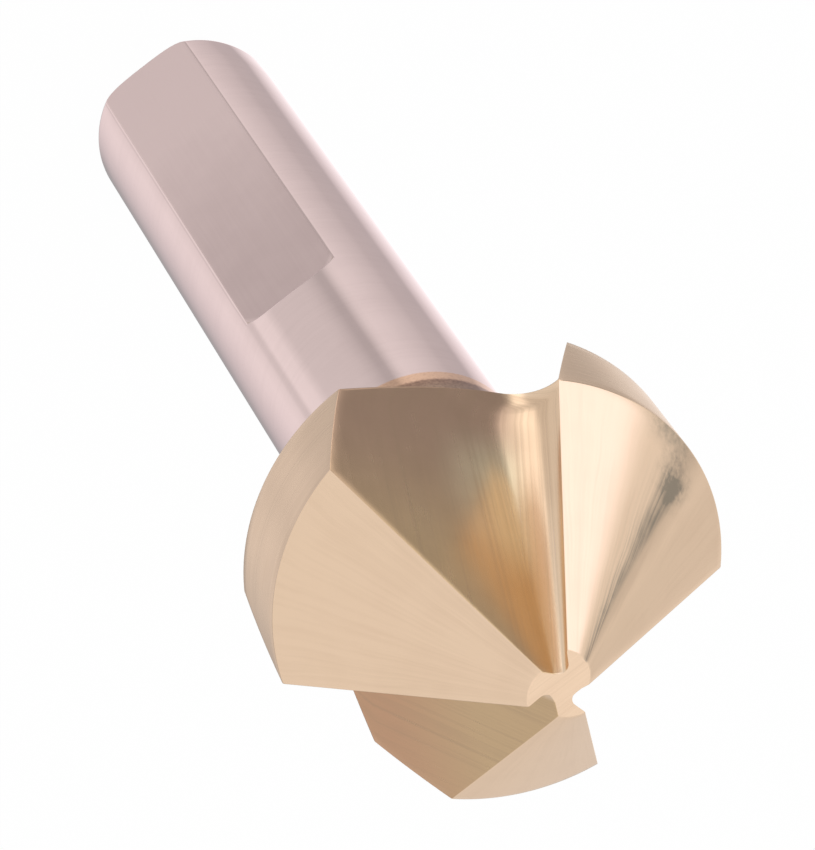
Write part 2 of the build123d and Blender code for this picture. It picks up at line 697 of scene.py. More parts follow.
@dataclass
class MilledShank:
    """The clamping end of the shank with its driving flats, laid out by a Geometry Nodes tree."""

    columns: Columns
    radius: float = 5.0 * MM
    flat_depth: float = 0.71 * MM
    flat_length: float = 29.0 * MM
    cutter_radius: float = 2.95 * MM
    end_radius: float = 0.8 * MM
    edge_share: float = 0.015
    flats: int = 3
    first_flat: float = math.radians(-90.0)
    end_rings: int = 10
    body_rings: int = 12
    run_out_rings: int = 8

    @property
    def rings(self) -> int:
        """Number of rings, with the one on the rim of the flats' end wall."""
        return self.end_rings + self.body_rings + self.run_out_rings + 2

    def sizes(self) -> dict[str, float | int]:
        """List the sizes that the tree takes.

        Returns:
            The value of each input, by its name.
        """
        return {
            "Shank radius": self.radius,
            "Flat depth": self.flat_depth,
            "Flat length": self.flat_length,
            "Cutter radius": self.cutter_radius,
            "End radius": self.end_radius,
            "Edge share": self.edge_share,
            "First flat": self.first_flat,
            "Flats": self.flats,
            "Round columns": self.columns.land,
            "Flat columns": self.columns.flute,
            "End rings": self.end_rings,
            "Body rings": self.body_rings,
            "Run-out rings": self.run_out_rings,
        }

    @staticmethod
    def share(place: Sock, count: Sock, edge: Sock) -> Sock:
        """Place a column of some from 0 to 1, evenly but for a short first and last step."""
        return ((place - 1) / (count - 2) * (1 - 2 * edge) + edge).clamped()

    def tree(self) -> tuple[bpy.types.NodeTree, dict[str, str]]:
        """Build the tree that wraps a grid round the shank.

        Returns:
            The tree, and the identifier of each input by its name.
        """
        tree = bpy.data.node_groups.new("milled_shank", "GeometryNodeTree")
        graph = Graph(tree)
        named = {}
        for name, value in self.sizes().items():
            kind = "NodeSocketInt" if isinstance(value, int) else "NodeSocketFloat"
            named[name] = tree.interface.new_socket(name, in_out="INPUT", socket_type=kind).identifier
        kind = "NodeSocketMaterial"
        named["Finish"] = tree.interface.new_socket("Finish", in_out="INPUT", socket_type=kind).identifier
        tree.interface.new_socket("Shank", in_out="OUTPUT", socket_type="NodeSocketGeometry")
        inputs = graph.node("NodeGroupInput").socket.node.outputs
        size = {socket.name: Sock(graph, socket) for socket in inputs if socket.name}

        # Number of each point's ring, its column, its third of the turn and its place there.
        sector_columns = size["Round columns"] + size["Flat columns"]
        last_ring = size["End rings"] + size["Body rings"] + size["Run-out rings"] + 1
        counts = {"Vertices X": sector_columns * size["Flats"], "Vertices Y": last_ring + 1}
        grid = graph.node("GeometryNodeMeshGrid", {}, counts)
        index = graph.node("GeometryNodeInputIndex")
        column = ((index + 0.5) / (last_ring + 1)).floored()
        ring = index - column * (last_ring + 1)
        sector = ((column + 0.5) / sector_columns).floored()
        place = column - sector * sector_columns
        on_flat = place.above(size["Round columns"] - 0.5)

        # How far each stretch of the shank is passed, from 0 to 1.
        turn = (ring / size["End rings"]).clamped() * (math.pi / 2)
        along = ((ring - size["End rings"]) / size["Body rings"]).clamped()
        after = ring - size["End rings"] - size["Body rings"]
        run_out = (after / (size["Run-out rings"] - 1)).clamped() * (1 - size["Edge share"])
        run_out = run_out + after.above(size["Run-out rings"] - 0.5) * size["Edge share"]
        rim = ring.above(last_ring - 0.5)

        # The round and the flat outline, and the arc that the cutter leaves at a flat's end.
        outside = size["Shank radius"] - size["End radius"] * (1 - turn.sine())
        floor = size["Shank radius"] - size["Flat depth"]
        half = (floor / outside).at_most(1.0).arc_cosine()
        pitch = WHOLE_TURN / size["Flats"]
        round_share = self.share(place, size["Round columns"], size["Edge share"])
        flat_share = self.share(place - size["Round columns"], size["Flat columns"], size["Edge share"])
        round_place = pitch / 2 + (pitch / 2 - half) * (1 - 2 * round_share)
        flat_place = half * (1 - 2 * flat_share)
        sideways = floor * flat_place.sine() / flat_place.cosine()
        width_squared = size["Shank radius"] * size["Shank radius"] - floor * floor
        cutter_squared = size["Cutter radius"] * size["Cutter radius"]
        bulge = (cutter_squared - sideways * sideways).power(0.5)
        bulge = bulge - (cutter_squared - width_squared).power(0.5)
        rim_place = math.pi / 2 - (sideways / size["Shank radius"]).arc_cosine()

        height = (
            size["End radius"] * (1 - turn.cosine())
            + along * (size["Flat length"] - size["End radius"])
            + on_flat * run_out * bulge
        )
        level = on_flat.choose(outside, (floor / flat_place.cosine()).at_most(outside))
        level = rim.choose(level, outside)
        offset = on_flat.choose(round_place, rim.choose(flat_place, rim_place))
        angle = size["First flat"] - sector * pitch + offset
        axes = {0: level * angle.cosine(), 1: level * angle.sine(), 2: height}
        point = graph.node("ShaderNodeCombineXYZ", {}, axes)
        shaped = graph.node("GeometryNodeSetPosition", {}, {"Geometry": grid, "Position": point})
        real = graph.node("GeometryNodeRealizeInstances", {}, {"Geometry": shaped})
        dressed = graph.node("GeometryNodeSetMaterial", {}, {"Geometry": real, "Material": size["Finish"]})
        graph.node("NodeGroupOutput", {}, {0: dressed})
        return tree, named

    def build(self, finish: bpy.types.Material) -> np.ndarray:
        """Lay the shank's rings.

        Args:
            finish: Material of the laid out surface.

        Returns:
            The points, by ring and column.
        """
        tree, named = self.tree()
        carrier = bpy.data.objects.new("shank_layout", bpy.data.meshes.new("shank_layout"))
        bpy.context.collection.objects.link(carrier)
        modifier = carrier.modifiers.new("layout", "NODES")
        modifier.node_group = tree
        for name, value in self.sizes().items():
            modifier[named[name]] = value
        modifier[named["Finish"]] = finish
        laid = evaluated_mesh(carrier)
        carrier.modifiers.remove(modifier)
        points = np.empty(len(laid.vertices) * 3)
        laid.vertices.foreach_get("co", points)
        bpy.data.objects.remove(carrier)
        return points.reshape(-1, self.rings, 3).transpose(1, 0, 2)


def evaluated_mesh(item: bpy.types.Object) -> bpy.types.Mesh:
    """Turn an object with its modifiers into a plain mesh."""
    graph = bpy.context.evaluated_depsgraph_get()
    return bpy.data.meshes.new_from_object(item.evaluated_get(graph))


# ---- the whole tool --------------------------------------------------------------------------


class Region(Enum):
    """The surfaces that are finished in their own way, by material slot."""

    SHANK = 0
    FLAT = 1
    BACK = 2
    MARGIN = 3
    LAND = 4
    FLUTE = 5
    TIP = 6


ZONE_REGIONS = {Zone.BACK: Region.BACK, Zone.MARGIN: Region.MARGIN, Zone.CONE: Region.LAND}
UV_MAPS = ("grain", "spot")


@dataclass
class CountersinkBit:
    """The whole tool: one closed skin of rings and columns over the shank and the head."""

    blank: Blank
    columns: Columns
    shank: MilledShank
    head: CuttingHead
    neck_start: float = 30.95 * MM
    neck_rings: int = 30
    tip_radius: float = 1.5 * MM
    sharpness: float = 0.4
    normal_weight: int = 80
    land_grain: float = 0.7

    def neck(self, start: np.ndarray, end: np.ndarray) -> np.ndarray:
        """Lay the rings between the shank's flats and the flutes' exit.

        Args:
            start: The shank's last ring.
            end: The head's first ring.

        Returns:
            The rings between them.
        """
        blank = self.blank
        last = blank.back_height - EDGE_ROUND
        heights = list(np.linspace(self.neck_start, last, self.neck_rings))
        heights += [blank.back_height, blank.back_height + EDGE_ROUND, (blank.back_height + end[0, 2]) / 2]
        low, high = (np.unwrap(np.arctan2(ring[:, 1], ring[:, 0])) for ring in (start, end))
        rings = [start + [0.0, 0.0, EDGE_ROUND]]
        for height in heights:
            share = (height - self.neck_start) / (end[0, 2] - self.neck_start)
            angle = low + (high - low) * s_curve(share)
            radius = max(blank.shank_radius, blank.back_radius(height))
            across = [radius * np.cos(angle), radius * np.sin(angle)]
            rings.append(np.stack([*across, np.full_like(angle, height)], axis=1))
        return np.array(rings)

    def ease(self, skin: np.ndarray, exit_ring: int) -> np.ndarray:
        """Round the sharp edges by moving the points on them inwards.

        Args:
            skin: The rings.
            exit_ring: Number of the head's first ring.

        Returns:
            The rings with rounded edges.
        """
        zones = [ring.zone for ring in self.head.rings()]
        turns = [exit_ring + i for i in range(len(zones) - 1) if zones[i] is not zones[i + 1]]
        turns.append(exit_ring + len(zones) - 1)
        eased = skin.copy()
        for ring in turns:
            beside = (skin[ring - 1] + skin[ring + 1]) / 2
            eased[ring] = self.sharpness * skin[ring] + (1 - self.sharpness) * beside
        skin = eased.copy()
        count = skin.shape[1]
        rows = list(range(self.shank.rings - 2)) + list(range(exit_ring + 1, len(skin)))
        for sector in range(0, count, self.columns.sector):
            for column in (sector, sector + self.columns.land):
                beside = (skin[rows, column - 1] + skin[rows, (column + 1) % count]) / 2
                eased[rows, column] = self.sharpness * skin[rows, column] + (1 - self.sharpness) * beside
        return eased

    def region(self, ring: int, column: int, exit_ring: int) -> Region:
        """Find the finish of a face.

        Args:
            ring: Number of the ring below the face.
            column: Number of the column before it.
            exit_ring: Number of the head's first ring.

        Returns:
            The region.
        """
        fluted = column % self.columns.sector >= self.columns.land
        if ring < exit_ring:
            return Region.FLAT if fluted and ring < self.shank.rings - 1 else Region.SHANK
        if fluted:
            return Region.FLUTE
        zones = [found.zone for found in self.head.rings()]
        return ZONE_REGIONS[zones[min(ring - exit_ring + 1, len(zones) - 1)]]

    def grain(self, skin: np.ndarray) -> dict[Region, np.ndarray]:
        """Measure the skin along and across the grinding lines, in millimetres.

        Args:
            skin: The rings, with the first column repeated at the end.

        Returns:
            Both distances for every point, for each region.
        """
        x, y, z = (skin[..., k] / MM for k in range(3))
        angle = np.unwrap(np.arctan2(y, x), axis=1)
        round_way = angle * self.blank.shank_radius / MM
        chord = np.hypot(np.diff(x, axis=1), np.diff(y, axis=1))
        width = np.concatenate([np.zeros((len(x), 1)), np.cumsum(chord, axis=1)], axis=1)
        turned = np.stack([round_way, z], axis=-1)
        lengthwise = np.stack([z, width], axis=-1)
        # A land's lines run up the 45 degree cone, and are counted at a share of its largest radius.
        cone_way = angle * self.blank.head_radius * self.land_grain / MM
        return {
            Region.SHANK: turned,
            Region.FLAT: lengthwise,
            Region.BACK: turned,
            Region.MARGIN: turned,
            Region.LAND: np.stack([z * math.sqrt(2), cone_way], axis=-1),
            Region.FLUTE: lengthwise,
            Region.TIP: np.stack([x, y], axis=-1),
        }

    def reference(self, face: int) -> int:
        """Find the column that a flute's grinding lines run beside.

        Args:
            face: Number of a face's own column.

        Returns:
            The foot of the heel wall for that wall, else the middle of the floor.
        """
        sector, inside = divmod(face, self.columns.sector)
        foot = self.columns.land + self.columns.heel
        return sector * self.columns.sector + foot + (0 if inside < foot else self.columns.floor // 2)

    def spot(self, face: int, place: tuple[int, int], width: np.ndarray) -> tuple[float, float]:
        """Place a point across the land or the flute of a face.

        Args:
            face: Number of the face's own column.
            place: Ring and column of the point.
            width: Distance of every point along its ring.

        Returns:
            The share of the width, clockwise. With it, on a land its number, and on a flute the distance
            to the cutting edge.
        """
        sector, inside = divmod(face, self.columns.sector)
        start = sector * self.columns.sector
        if inside < self.columns.land:
            return (place[1] - start) / self.columns.land, sector
        share = (place[1] - start - self.columns.land) / self.columns.flute
        return share, width[place[0], start + self.columns.sector] - width[place]

    def rings(self, finish: bpy.types.Material) -> tuple[np.ndarray, int]:
        """Lay the whole skin, from the shank's end to the tip.

        Args:
            finish: Material of the shank.

        Returns:
            The rings, and the number of the head's first ring.
        """
        low = self.shank.build(finish)
        high = self.head.build()
        neck = self.neck(low[-1], high[0])
        exit_ring = len(low) + len(neck)
        inwards = 1 - EDGE_ROUND / self.tip_radius
        inset = high[-1:] * [inwards, inwards, 1.0]
        return self.ease(np.concatenate([low, neck, high, inset]), exit_ring), exit_ring

    def fill(self, work: bmesh.types.BMesh, skin: np.ndarray, exit_ring: int) -> None:
        """Fill the skin with faces, each with its material slot and its places in both UV maps.

        Args:
            work: The mesh that gets the faces.
            skin: The rings.
            exit_ring: Number of the head's first ring.
        """
        rings, columns = skin.shape[:2]
        closed = np.concatenate([skin, skin[:, :1]], axis=1)
        grain = self.grain(closed)
        width = grain[Region.FLUTE][..., 1]
        flat_ends = closed[self.shank.rings - 2, :, 2]
        uv, spot = (work.loops.layers.uv.new(name) for name in UV_MAPS)
        points = [[work.verts.new(point) for point in ring] for ring in skin]
        for ring in range(rings - 1):
            for column in range(columns):
                places = ((ring, column), (ring + 1, column), (ring + 1, column + 1), (ring, column + 1))
                face = work.faces.new([points[row][place % columns] for row, place in places])
                region = self.region(ring, column, exit_ring)
                face.material_index = region.value
                for loop, place in zip(face.loops, places):
                    along, across = grain[region][place]
                    if region in (Region.FLAT, Region.FLUTE):
                        across -= grain[region][place[0], self.reference(column)][1]
                    loop[uv].uv = (along, across)
                    share, rest = self.spot(column, place, width)
                    if region is Region.FLAT:
                        rest = (flat_ends[place[1]] - closed[place][2]) / MM
                    loop[spot].uv = (share, rest)
        for ring, region, order in ((0, Region.SHANK, 1), (rings - 1, Region.TIP, -1)):
            face = work.faces.new(points[ring][::order])
            face.material_index = region.value
            for loop in face.loops:
                loop[uv].uv = (loop.vert.co.x / MM, loop.vert.co.y / MM)

    def build(self, finish: bpy.types.Material) -> bpy.types.Object:
        """Build the skin.

        Args:
            finish: Material of the shank.

        Returns:
            The finished object, which has no materials yet.
        """
        work = bmesh.new()
        self.fill(work, *self.rings(finish))
        bmesh.ops.remove_doubles(work, verts=work.verts, dist=WELD)
        for face in work.faces:
            face.smooth = True
        open_edges = sum(not edge.is_manifold for edge in work.edges)
        LOG.info("skin: open edges %d, volume %.1f mm3", open_edges, work.calc_volume(signed=True) / MM ** 3)
        mesh = bpy.data.meshes.new("countersink_skin")
        work.to_mesh(mesh)
        work.free()
        item = bpy.data.objects.new("countersink_skin", mesh)
        bpy.context.collection.objects.link(item)
        modifier = item.modifiers.new("edge_shading", "WEIGHTED_NORMAL")
        modifier.weight = self.normal_weight
        modifier.keep_sharp = False
        item.data = evaluated_mesh(item)
        item.modifiers.remove(modifier)
        return item

    def dress(self, item: bpy.types.Object, finishes: dict[Region, bpy.types.Material]) -> None:
        """Give each region its material.

        Args:
            item: The built skin.
            finishes: The materials.
        """
        for region in Region:
            item.data.materials.append(finishes[region])
        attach(item, "root")
        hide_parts("countersink_bit")
# ---- finishes --------------------------------------------------------------------------------


STEEL: Colour = (0.805, 0.64, 0.615)
STEEL_SHADE: Colour = (0.52, 0.40, 0.385)
STEEL_EDGE: Colour = (0.94, 0.87, 0.89)
GOLD: Colour = (0.95, 0.705, 0.505)
BRUSHED_GOLD: Colour = (0.72, 0.54, 0.41)
NOISE_ROUGHNESS = 0.6
LEAST_ROUGHNESS = 0.05


class Sample(Enum):
    """Where in the noise each kind of line is read, so that no two are alike."""

    LINES = 0.0
    WANDER = 1.7
    BANDS = 5.3
    STAIN = 9.1


@dataclass(frozen=True)
class Ground:
    """A ground surface with its lines, its patches of other tone and its fine relief.

    Lines change in tone line_changes times in each millimetre of their length, and the bands are drawn
    at shares of the lines' two rates. The lines wander to each side by about wander, in millimetres,
    with changes at its own two rates. Patches and wear have their size in millimetres. Each field that
    ends in "tone" says how far its kind of mark shifts the colour towards the shade.
    """

    name: str
    colour: Colour = GOLD
    shade: Colour = (0.64, 0.43, 0.29)
    roughness: float = 0.22
    line_roughness: float = 0.10
    lines_per_mm: float = 9.0
    line_changes: float = 0.12
    wander: float = 0.0
    wander_along: float = 0.35
    wander_across: float = 0.12
    line_tone: float = 0.5
    band_tone: float = 0.35
    bands_along: float = 0.6
    bands_across: float = 0.18
    patch_size: float = 2.5
    patch_tone: float = 0.25
    wear_size: float = 2.5 / 1.3
    wear_roughness: float = 0.08
    base_tone: float = 0.04
    relief: float = 0.0012 * MM
    edge_tint: Colour = (1.0, 0.93, 0.86)

    @staticmethod
    def noise(graph: Graph, place: Sock, scale: float, detail: float = 2.0) -> Sock:
        """Add a noise texture, from about -0.5 to 0.5."""
        values = {"Vector": place, "Scale": scale, "Detail": detail, "Roughness": NOISE_ROUGHNESS}
        return graph.node("ShaderNodeTexNoise", {}, values) - 0.5

    def grain(self, graph: Graph, length: float, width: float, sample: Sample) -> Sock:
        """Add noise that is drawn out along the grinding lines.

        Args:
            graph: The graph.
            length: Changes in each millimetre along the lines.
            width: Changes in each millimetre across them.
            sample: Kind of the lines.

        Returns:
            The noise, from about -0.5 to 0.5.
        """
        parts = self.uv(graph, "grain")
        along, across = parts["X"], parts["Y"]
        if self.wander:
            slow = {0: along * self.wander_along, 1: across * self.wander_across, 2: Sample.WANDER.value}
            bend = self.noise(graph, graph.node("ShaderNodeCombineXYZ", {}, slow), 1.0, 1.0)
            across = across + bend * (2 * self.wander)
        drawn_out = {0: along * length, 1: across * width, 2: sample.value}
        return self.noise(graph, graph.node("ShaderNodeCombineXYZ", {}, drawn_out), 1.0, 3.0)

    @staticmethod
    def uv(graph: Graph, name: str) -> dict[str, Sock]:
        """Return the X and Y of a UV map."""
        return graph.split(graph.node("ShaderNodeUVMap", {"uv_map": name}))

    @staticmethod
    def place(graph: Graph) -> Sock:
        """Add the object's own coordinates, in millimetres."""
        where = graph.node("ShaderNodeTexCoord", output="Object")
        return graph.node("ShaderNodeVectorMath", {"operation": "SCALE"}, {0: where, 3: 1 / MM})

    def tone(self, graph: Graph, fine: Sock) -> Sock:
        """Add up the lines, the bands and the patches: 0 for the plain colour, 1 for the shade.

        Args:
            graph: The graph.
            fine: The fine grinding lines.

        Returns:
            The tone.
        """
        along, across = self.line_changes * self.bands_along, self.lines_per_mm * self.bands_across
        bands = self.grain(graph, along, across, Sample.BANDS)
        patches = self.noise(graph, self.place(graph), 1 / self.patch_size)
        return fine * self.line_tone + bands * self.band_tone + patches * self.patch_tone + self.base_tone

    def tint(self, graph: Graph, tone: Sock) -> Sock:
        """Mix the surface's colour from its tone."""
        return mix_colour(tone.clamped(), self.colour, self.shade, graph)

    def material(self) -> bpy.types.Material:
        """Build the material.

        Returns:
            The material.
        """
        material = bpy.data.materials.new(self.name)
        material.use_nodes = True
        graph = Graph(material.node_tree)
        fine = self.grain(graph, self.line_changes, self.lines_per_mm, Sample.LINES)
        tone = self.tone(graph, fine)
        wear = self.noise(graph, self.place(graph), 1 / self.wear_size)
        roughness = fine * self.line_roughness + wear * self.wear_roughness + self.roughness
        bump = graph.node("ShaderNodeBump", {}, {"Strength": 1.0, "Distance": self.relief, "Height": fine})
        values = {
            "Base Color": self.tint(graph, tone),
            "Metallic": 1.0,
            "Roughness": roughness.at_least(LEAST_ROUGHNESS),
            "Specular Tint": (*self.edge_tint, 1.0),
            "Normal": bump,
        }
        shader = graph.node("ShaderNodeBsdfPrincipled", {}, values)
        graph.node("ShaderNodeOutputMaterial", {}, {"Surface": shader})
        return material


@dataclass(frozen=True)
class CoatedShank(Ground):
    """The ground shank: bare steel, then the brown start of the coating with a ring of painted shade under
    the head, then the coating.

    Heights are in millimetres.
    """

    coating_start: Range = (42.15, 42.3)
    painted_shade_start: Range = (42.8, 43.15)
    painted_shade_end: Range = (44.5, 43.9)
    brown_to_gold: Range = (42.95, 43.9)
    brown: Colour = (0.81, 0.52, 0.36)
    smoke_and_painted_shade: Colour = (0.15, 0.075, 0.05)
    painted_shade_tone: float = 0.75
    speckle_tone: float = 0.6
    speckle_scale: float = 7.0
    line_smoke: float = 0.5
    line_waver: float = 0.15
    speckle_waver: float = 0.1

    def tint(self, graph: Graph, tone: Sock) -> Sock:
        """Mix the steel, the coating, its brown start and the ring of painted shade under the head.

        Args:
            graph: The graph.
            tone: The surface's tone.

        Returns:
            The colour.
        """
        place = self.place(graph)
        speckle = self.noise(graph, place, self.speckle_scale)
        height = graph.split(place)["Z"] + tone * self.line_waver + speckle * self.speckle_waver
        coated = smooth(height, *self.coating_start)
        # Painted shade: a darker ring on the neck just below the head.
        under_head_shade = smooth(height, *self.painted_shade_start) * smooth(height, *self.painted_shade_end)
        darkness = tone * self.line_smoke + speckle * self.speckle_tone + under_head_shade * self.painted_shade_tone
        coat = mix_colour(smooth(height, *self.brown_to_gold), self.brown, GOLD, graph)
        coat = mix_colour(darkness.clamped(), coat, self.smoke_and_painted_shade, graph)
        return mix_colour(coated, super().tint(graph, tone), coat, graph)


@dataclass(frozen=True)
class CoatedLand(Ground):
    """A coated land. One of them has a dark streak, partly a painted reflection of a dark band and partly
    smoke from grinding, and a burnt patch and a smudged rim from grinding.

    Places across the land are shares of its width, and radii are in millimetres.
    """

    stained_land: float = 1.0
    smoke_and_painted_shade: Colour = (0.33, 0.29, 0.23)
    stain_and_reflection_strength: float = 0.85
    stain_lines_per_mm: float = 6.0
    cloud_scale: float = 0.6
    speckle_scale: float = 3.5
    streak_slant: float = 0.15
    slant_radius: float = 8.5
    cloud_waver: float = 0.03
    line_waver: float = 0.02
    haze_rise: Range = (0.335, 0.535)
    haze_tone: float = 0.10
    core_rise: Range = (0.445, 0.555)
    core_lines: float = 1.6
    core_cloud: float = 1.3
    core_tone: float = 0.50
    streak_side: Range = (0.605, 0.555)
    streak_rim: Range = (9.4, 8.4)
    burn_share: float = 0.535
    burn_radius: float = 8.9
    burn_narrowness: float = 11.0
    burn_shortness: float = 0.9
    burn_fade: Range = (1.3, 0.0)
    burn_cloud: float = 1.6
    burn_speckle: float = 2.2
    burn_lines: float = 1.2
    burn_tone: float = 0.62
    rim_rise: Range = (9.2, 10.1)
    rim_start: Range = (0.30, 0.42)
    rim_end: Range = (0.62, 0.50)
    rim_cloud: float = 1.2
    rim_tone: float = 0.55

    def stain_and_painted_reflection(self, graph: Graph) -> Sock:
        """Add up the streak, which is partly a painted reflection, the burnt patch and the smudge at the rim.

        Args:
            graph: The graph.

        Returns:
            The darkness of the stain.
        """
        spot = self.uv(graph, "spot")
        place = self.place(graph)
        fine = self.grain(graph, self.line_changes, self.stain_lines_per_mm, Sample.STAIN)
        cloud = self.noise(graph, place, self.cloud_scale, 4.0)
        speckle = self.noise(graph, place, self.speckle_scale, 3.0)
        parts = graph.split(place)
        radius = (parts["X"] * parts["X"] + parts["Y"] * parts["Y"]).power(0.5)

        # The streak: partly a painted reflection of a dark band, partly smoke from grinding.
        slant = (1 - radius / self.slant_radius) * self.streak_slant
        share = spot["X"] + slant + cloud * self.cloud_waver + fine * self.line_waver
        haze = smooth(share, *self.haze_rise) * (fine + self.haze_tone)
        core = fine * self.core_lines + cloud * self.core_cloud + self.core_tone
        core = core * smooth(share, *self.core_rise)
        streak = (haze + core) * smooth(share, *self.streak_side) * smooth(radius, *self.streak_rim)

        across = (spot["X"] - self.burn_share) * self.burn_narrowness
        along = (radius - self.burn_radius) * self.burn_shortness
        reach = (across * across + along * along).power(0.5) - cloud * self.burn_cloud
        burn = speckle * self.burn_speckle + fine * self.burn_lines + self.burn_tone
        burn = burn * smooth(reach, *self.burn_fade)

        rim = smooth(radius + cloud * self.rim_cloud, *self.rim_rise) * (speckle + cloud + self.rim_tone)
        rim = rim * smooth(spot["X"], *self.rim_start) * smooth(spot["X"], *self.rim_end)
        here = (1 - (spot["Y"] - self.stained_land).absolute()).clamped()
        return here * (streak + burn + rim)

    def tint(self, graph: Graph, tone: Sock) -> Sock:
        """Mix the coating with the stain and the painted reflection in the streak."""
        share = self.stain_and_painted_reflection(graph).clamped() * self.stain_and_reflection_strength
        return mix_colour(share, super().tint(graph, tone), self.smoke_and_painted_shade, graph)


@dataclass(frozen=True)
class CoatedFlute(Ground):
    """A coated flute: its walls and floor differ in painted shade and light, and a brown band of painted
    shade lies beside the cutting edge.

    Places across the flute are shares of its width, from the heel. Heights, sideways places and
    distances to the cutting edge are in millimetres.
    """

    heel_painted_shade: Colour = (0.60, 0.40, 0.285)
    heel_side_painted_shade: Colour = (0.74, 0.44, 0.27)
    warm_side: Range = (2.0, 5.0)
    heel_painted_light: Colour = (0.78, 0.55, 0.32)
    heel_rise: Range = (50.5, 58.5)
    heel_foot_painted_highlight: Colour = (0.91, 0.76, 0.52)
    foot_share: Range = (0.19, 0.33)
    foot_start: Range = (50.0, 53.0)
    foot_end: Range = (59.0, 56.0)
    foot_side: Range = (3.0, 1.0)
    floor_share: Range = (0.32, 0.43)
    floor_painted_shade: Colour = (0.80, 0.58, 0.40)
    floor_painted_light: Colour = (0.95, 0.73, 0.53)
    floor_rise: Range = (51.5, 59.5)
    rake_share: Range = (0.52, 0.64)
    rake_painted_shade: Colour = (0.84, 0.60, 0.38)
    rake_rise: Range = (53.0, 59.0)
    brown: Colour = (0.62, 0.42, 0.27)
    edge_shade_distance: Range = (0.40, 0.24)
    edge_shade_rise: Range = (49.0, 54.0)
    edge_shade_strength: float = 0.75

    def tint(self, graph: Graph, tone: Sock) -> Sock:
        """Mix the painted shade and light of the heel wall, the floor and the rake wall, and the brown band
        of painted shade.

        Args:
            graph: The graph.
            tone: The surface's tone.

        Returns:
            The colour.
        """
        spot, parts = self.uv(graph, "spot"), graph.split(self.place(graph))
        share, side, height = spot["X"], parts["X"], parts["Z"]
        # Painted shade on the heel wall, lighter and warmer on one side and towards the tip, with a painted
        # highlight along its foot by the floor.
        heel = mix_colour(smooth(side, *self.warm_side), self.heel_painted_shade, self.heel_side_painted_shade, graph)
        heel = mix_colour(smooth(height, *self.heel_rise), heel, self.heel_painted_light, graph)
        foot = smooth(share, *self.foot_share) * smooth(side, *self.foot_side)
        foot = foot * smooth(height, *self.foot_start) * smooth(height, *self.foot_end)
        heel = mix_colour(foot, heel, self.heel_foot_painted_highlight, graph)
        # Painted shade and light: the floor lighter towards the tip, the rake wall darker towards the tip.
        floor = mix_colour(smooth(height, *self.floor_rise), self.floor_painted_shade, self.floor_painted_light, graph)
        rake = mix_colour(smooth(height, *self.rake_rise), self.colour, self.rake_painted_shade, graph)
        base = mix_colour(smooth(share, *self.floor_share), heel, floor, graph)
        base = mix_colour(smooth(share, *self.rake_share), base, rake, graph)
        plain = mix_colour(tone.clamped(), base, self.shade, graph)
        # Painted shade: a brown band beside the cutting edge.
        painted_edge_shade = smooth(spot["Y"], *self.edge_shade_distance) * smooth(height, *self.edge_shade_rise)
        return mix_colour(painted_edge_shade * self.edge_shade_strength, plain, self.brown, graph)


@dataclass(frozen=True)
class MilledFlat(Ground):
    """A milled driving flat with painted shade, darker towards its run-out, where it ends at a brown line of
    painted shade beside a painted highlight strip.

    Heights and distances to the end wall are in millimetres.
    """

    lightening: float = 0.08
    shade_rise: Range = (4.0, 29.0)
    run_out_painted_shade: float = 0.62
    highlight_distance: Range = (0.75, 0.35)
    painted_highlight: float = 0.35
    end_painted_shade_line: Colour = (0.56, 0.43, 0.35)
    line_distance: Range = (0.30, 0.12)
    line_strength: float = 0.5

    def tone(self, graph: Graph, fine: Sock) -> Sock:
        """Add the painted shade, darker towards the run-out, to the lines and patches."""
        height = graph.split(self.place(graph))["Z"]
        # Painted shade: the flat is darker towards its run-out.
        return super().tone(graph, fine) + smooth(height, *self.shade_rise) * self.run_out_painted_shade - self.lightening

    def tint(self, graph: Graph, tone: Sock) -> Sock:
        """Mix the flat's colour with the painted highlight strip and the brown line of painted shade at its
        end wall.

        Args:
            graph: The graph.
            tone: The surface's tone.

        Returns:
            The colour.
        """
        left = self.uv(graph, "spot")["Y"]
        # A painted highlight strip and a brown line of painted shade beside the end wall.
        plain = super().tint(graph, tone - smooth(left, *self.highlight_distance) * self.painted_highlight)
        return mix_colour(smooth(left, *self.line_distance) * self.line_strength, plain, self.end_painted_shade_line, graph)


def finishes() -> dict[Region, bpy.types.Material]:
    """Build the materials of all regions.

    Returns:
        The materials, by region.
    """
    kinds = {
        Region.SHANK: CoatedShank(
            "ground_shank", STEEL, STEEL_SHADE, roughness=0.06, line_tone=0.14, band_tone=0.2,
            lines_per_mm=14.0, relief=0.0003 * MM, edge_tint=STEEL_EDGE,
        ),
        Region.FLAT: MilledFlat(
            "milled_flats", STEEL, STEEL_SHADE, roughness=0.32, line_tone=0.12, band_tone=0.15,
            lines_per_mm=7.0, edge_tint=STEEL_EDGE,
        ),
        Region.BACK: Ground("coated_back", BRUSHED_GOLD, (0.45, 0.32, 0.24), roughness=0.30),
        Region.MARGIN: Ground("coated_margins", BRUSHED_GOLD, (0.42, 0.32, 0.25), roughness=0.28),
        Region.LAND: CoatedLand(
            "coated_lands", roughness=0.15, line_tone=0.3, lines_per_mm=5.0, wander=0.15,
        ),
        Region.FLUTE: CoatedFlute(
            "coated_flutes", (0.93, 0.70, 0.50), (0.50, 0.35, 0.23), roughness=0.25, line_tone=1.2,
            band_tone=0.8, lines_per_mm=6.0, line_changes=0.03,
        ),
        Region.TIP: Ground("coated_tip", roughness=0.25),
    }
    return {region: kind.material() for region, kind in kinds.items()}


# ---- studio ----------------------------------------------------------------------------------


def heading(azimuth: float, elevation: float) -> Vector:
    """Return the direction at an azimuth and an elevation, in degrees."""
    az, el = math.radians(azimuth), math.radians(elevation)
    return Vector((math.cos(el) * math.cos(az), math.cos(el) * math.sin(az), math.sin(el)))


